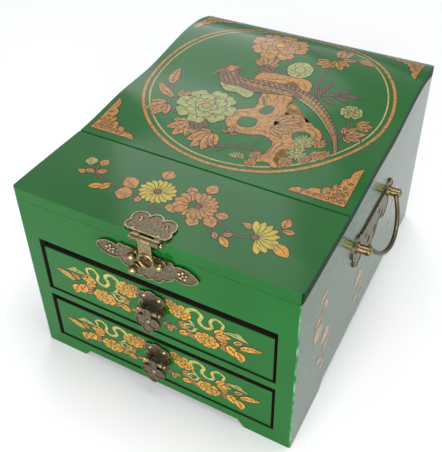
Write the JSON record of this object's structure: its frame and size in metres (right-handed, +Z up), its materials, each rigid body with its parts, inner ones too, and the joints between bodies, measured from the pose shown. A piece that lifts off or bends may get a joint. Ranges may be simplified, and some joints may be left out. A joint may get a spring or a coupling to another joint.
{
  "type": "jewellery chest",
  "caption": "Lacquered jewellery chest with a sloping hinged lid, a hasp, a mirror, a lined top tray, stacked drawers and a bail handle on each side.",
  "frame": {"origin": "on the ground, below the middle of the case", "axes": "+X to the right across the front, +Y from the front to the back, +Z up"},
  "size_m": [0.236, 0.2754, 0.1606],
  "materials": {
    "lacquer": "gloss green lacquer on wood",
    "stained_wood": "black stained, satin",
    "velvet": "short pile velvet glued to board",
    "ring_velvet": "velvet over foam rolls",
    "mirror": "silvered glass",
    "old_brass": "antiqued stamped sheet and wire",
    "bright_brass": "turned and tumbled"
  },
  "bodies": {
    "case": {"left_side": "lacquer", "right_side": "lacquer", "back_panel": "lacquer", "top_rail": "lacquer", "front_apron": "lacquer", "bottom_board": "stained_wood", "drawer_divider": "lacquer", "tray_board": "stained_wood", "tray_lining": "velvet", "tray_divider_cross": "velvet", "tray_divider_long": "velvet", "ring_cushion": "ring_velvet", "lock_plate": "old_brass", "lock_studs": "bright_brass", "right_handle_plate": "old_brass", "right_posts": "bright_brass", "left_handle_plate": "old_brass", "left_posts": "bright_brass", "hinge_leaves_case": "old_brass", "hinge_nails_case": "bright_brass", "hinge_pins": "bright_brass"},
    "right_handle": {"right_bail": "old_brass"},
    "left_handle": {"left_bail": "old_brass"},
    "lid": {"hinge_leaves_lid": "old_brass", "hinge_nails_lid": "bright_brass", "lid_front_board": "lacquer", "lid_rear_board": "lacquer", "lid_batten": "stained_wood", "mirror_wedge": "stained_wood", "mirror_frame": "lacquer", "mirror_glass": "mirror", "hasp_plate": "old_brass", "hasp_nails": "bright_brass", "hasp_pin": "bright_brass"},
    "hasp": {"hasp_strap": "bright_brass"},
    "upper_drawer": {"upper_drawer_front": "lacquer", "upper_drawer_left": "stained_wood", "upper_drawer_right": "stained_wood", "upper_drawer_back": "stained_wood", "upper_drawer_bottom": "stained_wood", "upper_drawer_lining": "velvet", "upper_pull_plate": "old_brass", "upper_pull_nails": "bright_brass", "upper_pull_pin": "bright_brass"},
    "upper_pull": {"upper_pull_drop": "old_brass"},
    "lower_drawer": {"lower_drawer_front": "lacquer", "lower_drawer_left": "stained_wood", "lower_drawer_right": "stained_wood", "lower_drawer_back": "stained_wood", "lower_drawer_bottom": "stained_wood", "lower_drawer_lining": "velvet", "lower_pull_plate": "old_brass", "lower_pull_nails": "bright_brass", "lower_pull_pin": "bright_brass"},
    "lower_pull": {"lower_pull_drop": "old_brass"}
  },
  "joints": [
    {"name": "lid_hinge", "type": "hinge", "parent": "case", "child": "lid", "pos_m": [0, 0.13375, 0.14604], "axis": [-1, 0, 0], "range_deg": [0, 100]},
    {"name": "hasp_hinge", "type": "hinge", "parent": "lid", "child": "hasp", "pos_m": [0.0025, -0.13445, 0.1488], "axis": [-1, 0, 0], "range_deg": [0, 170]},
    {"name": "upper_drawer_slide", "type": "slide", "parent": "case", "child": "upper_drawer", "axis": [0, -1, 0], "range_m": [0, 0.19]},
    {"name": "lower_drawer_slide", "type": "slide", "parent": "case", "child": "lower_drawer", "axis": [0, -1, 0], "range_m": [0, 0.19]},
    {"name": "upper_pull_swing", "type": "hinge", "parent": "upper_drawer", "child": "upper_pull", "pos_m": [0, -0.1356, 0.0867], "axis": [-1, 0, 0], "range_deg": [-5, 75]},
    {"name": "lower_pull_swing", "type": "hinge", "parent": "lower_drawer", "child": "lower_pull", "pos_m": [0, -0.1356, 0.0349], "axis": [-1, 0, 0], "range_deg": [-5, 75]},
    {"name": "right_handle_swing", "type": "hinge", "parent": "case", "child": "right_handle", "pos_m": [0.10795, 0.002, 0.0985], "axis": [0, -1, 0], "range_deg": [-25, 150]},
    {"name": "left_handle_swing", "type": "hinge", "parent": "case", "child": "left_handle", "pos_m": [-0.10795, 0.002, 0.0985], "axis": [0, 1, 0], "range_deg": [-25, 150]}
  ]
}
